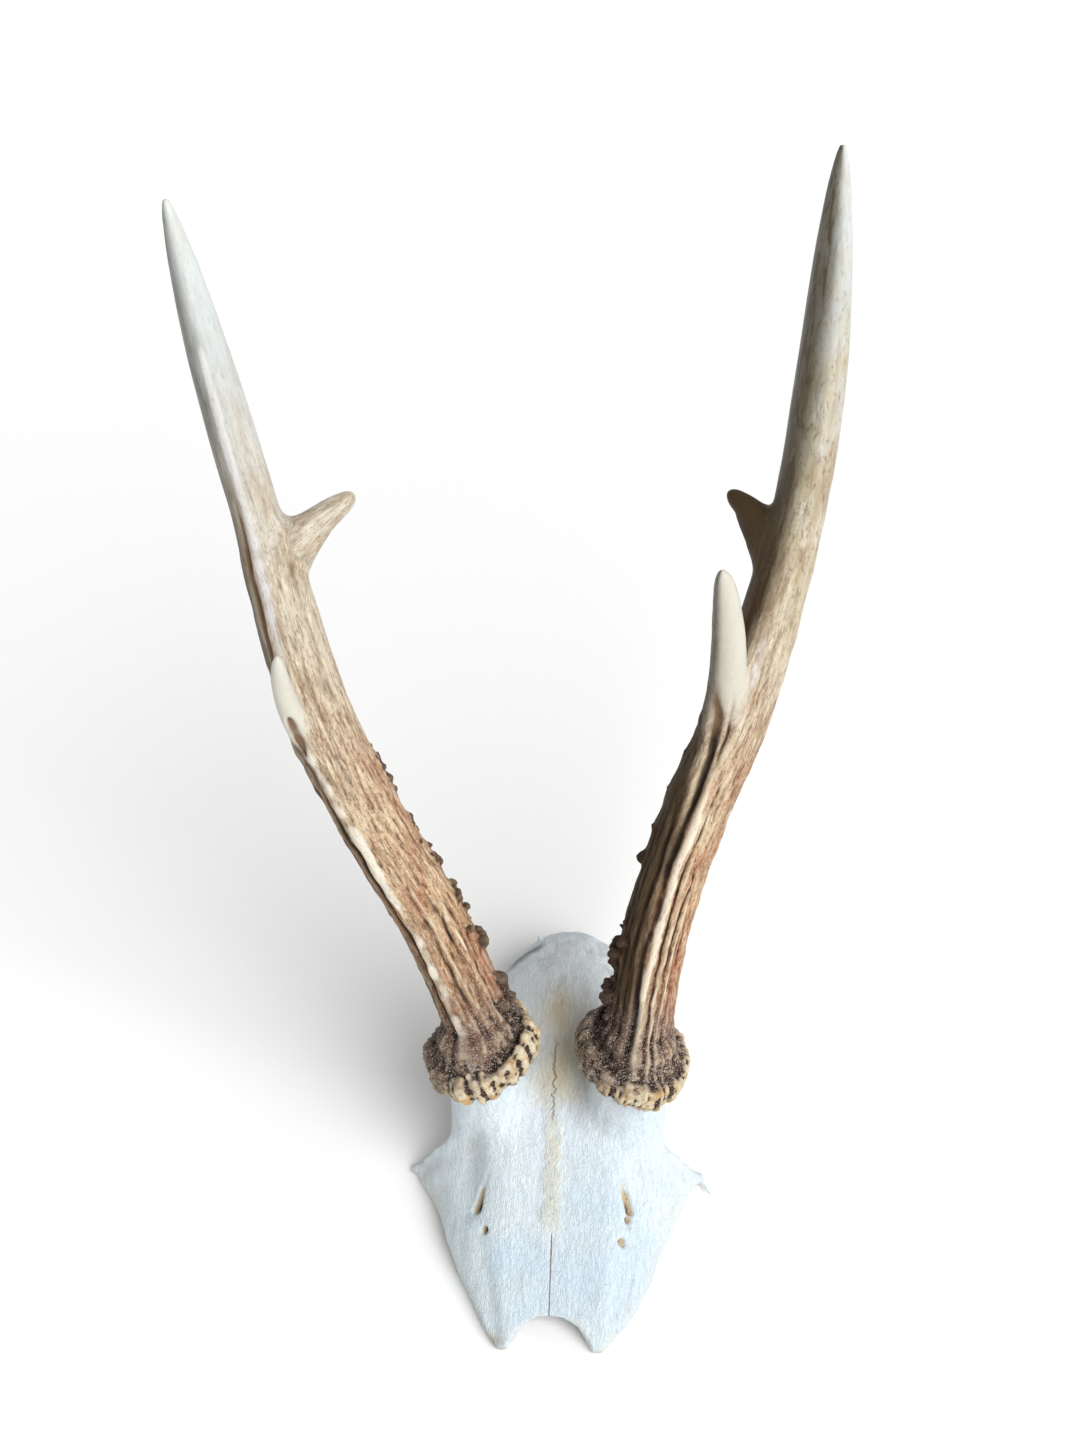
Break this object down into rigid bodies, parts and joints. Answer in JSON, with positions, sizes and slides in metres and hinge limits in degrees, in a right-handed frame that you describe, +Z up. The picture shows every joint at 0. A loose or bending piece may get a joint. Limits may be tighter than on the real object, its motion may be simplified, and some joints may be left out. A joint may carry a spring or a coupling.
{
  "type": "roe buck skull cap with antlers",
  "caption": "Skull cap of an adult roe buck, sawn off level through the brows and braincase, with both antlers, standing on its cut.",
  "frame": {"origin": "bottom centre of the whole, on the plane of the saw cut", "axes": "+Z up from the saw cut, +Y towards the back of the head, +X towards the animal's left, which is the right for someone facing the forehead"},
  "size_m": [0.168, 0.1834, 0.2688],
  "materials": {
    "skull_bone": "matte, bleached, finely striated",
    "coronet": "matte, beaded, dark in the hollows and pale on the beads",
    "grooved_antler": "matte, brown, grooved lengthwise with paler ridges",
    "smooth_antler": "satin, tan streaks fading to polished ivory at the tips"
  },
  "bodies": {
    "root": {"frontal_left": "skull_bone", "frontal_right": "skull_bone", "parietal": "skull_bone", "occipital": "skull_bone", "coronet_left": "coronet", "lower_beam_left": "grooved_antler", "front_tine_left": "smooth_antler", "middle_beam_left": "smooth_antler", "rear_tine_left": "smooth_antler", "upper_beam_left": "smooth_antler", "coronet_right": "coronet", "lower_beam_right": "grooved_antler", "front_tine_right": "smooth_antler", "middle_beam_right": "smooth_antler", "rear_tine_right": "smooth_antler", "upper_beam_right": "smooth_antler"}
  },
  "joints": []
}
